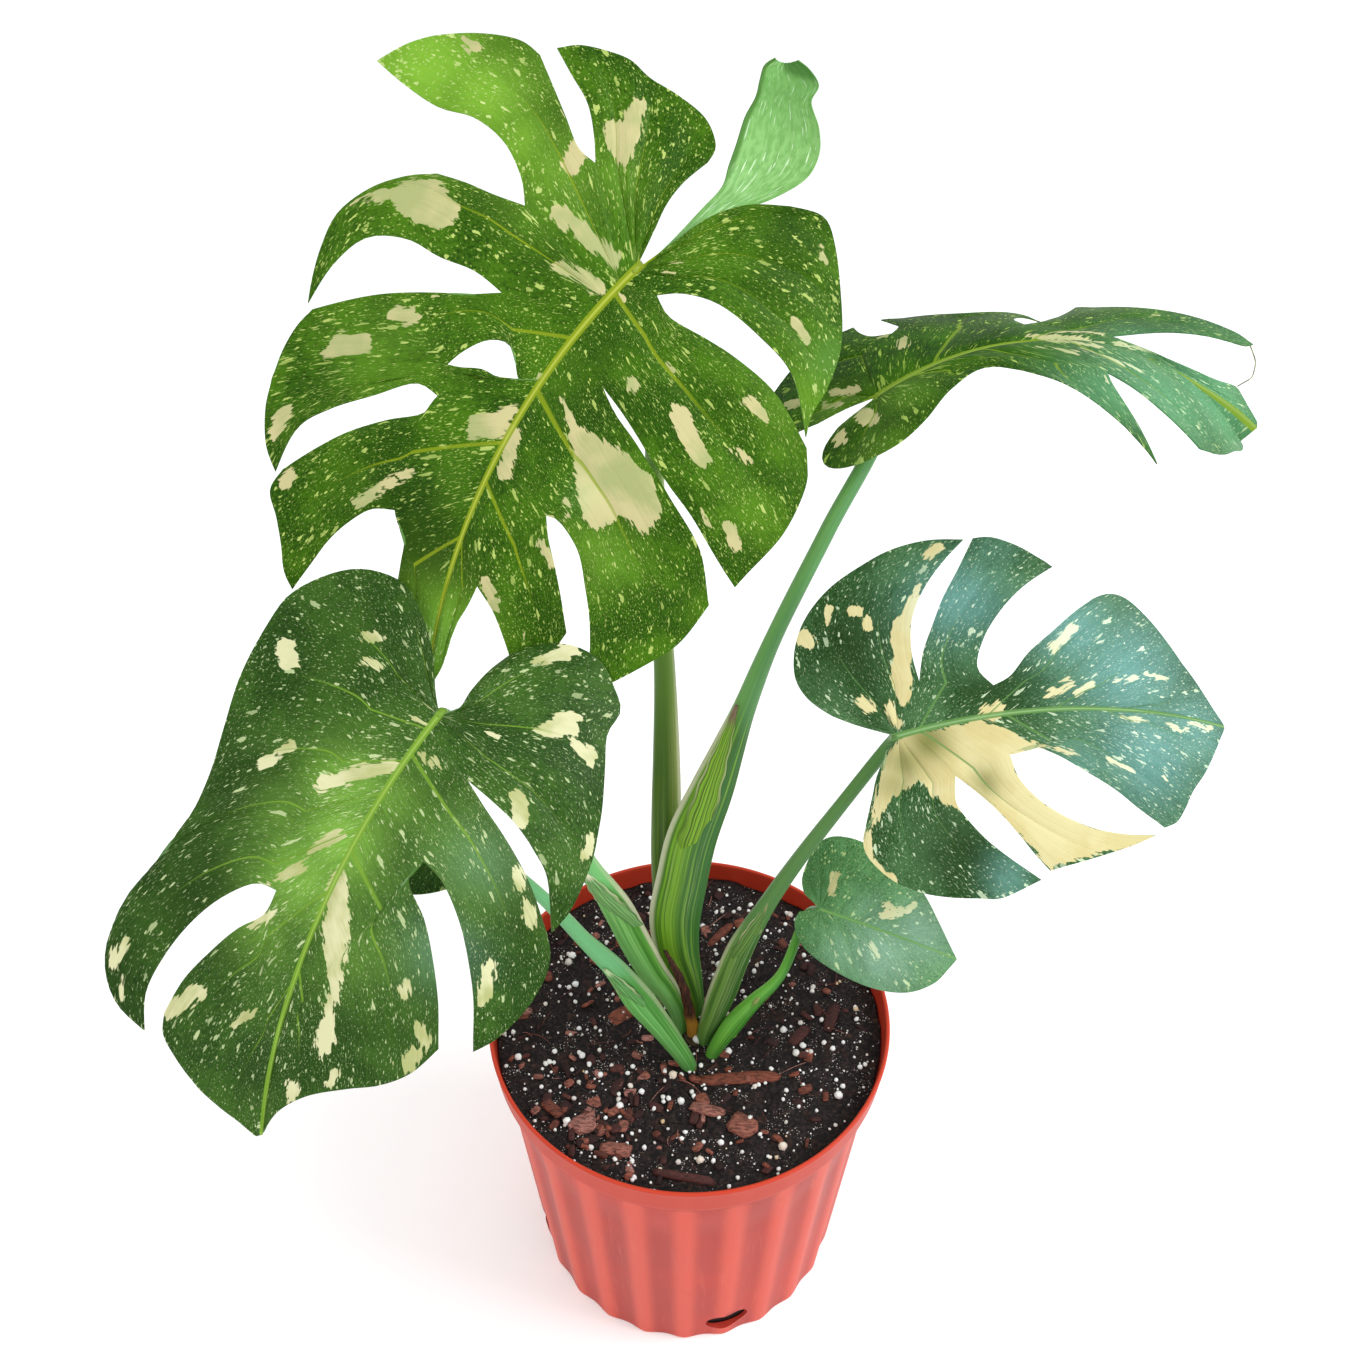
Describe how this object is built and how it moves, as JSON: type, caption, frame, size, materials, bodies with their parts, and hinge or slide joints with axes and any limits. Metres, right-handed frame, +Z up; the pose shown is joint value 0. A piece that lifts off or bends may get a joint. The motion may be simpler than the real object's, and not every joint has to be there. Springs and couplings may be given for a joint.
{
  "type": "potted monstera plant",
  "caption": "Variegated monstera with large split leaves on long sheathed stalks, growing in a fluted red nursery pot filled with a perlite and bark mix.",
  "frame": {"origin": "centre of the pot base, on the ground", "axes": "+Z up the pot, -Y towards the side the plant is seen from, +X to that view's right"},
  "size_m": [0.5784, 0.3798, 0.7711],
  "materials": {
    "leaf_bright": "satin",
    "leaf_dark": "satin",
    "stalk": "satin",
    "dried_sheath": "matte",
    "stem": "matte",
    "pot": "matte",
    "potting_mix": "rough"
  },
  "bodies": {
    "root": {"leaf_blade_largest": "leaf_bright", "leaf_blade_high_right": "leaf_dark", "leaf_blade_low_left": "leaf_dark", "leaf_blade_mid_right": "leaf_dark", "leaf_blade_small_right": "leaf_dark", "leaf_blade_small_left": "leaf_dark", "stalk_high_right": "stalk", "stalk_largest": "stalk", "stalk_low_left": "stalk", "stalk_mid_right": "stalk", "stalk_small_right": "stalk", "stalk_small_left": "stalk", "dried_sheath": "dried_sheath", "stem_stump": "stem", "pot": "pot", "potting_mix": "potting_mix"}
  },
  "joints": []
}
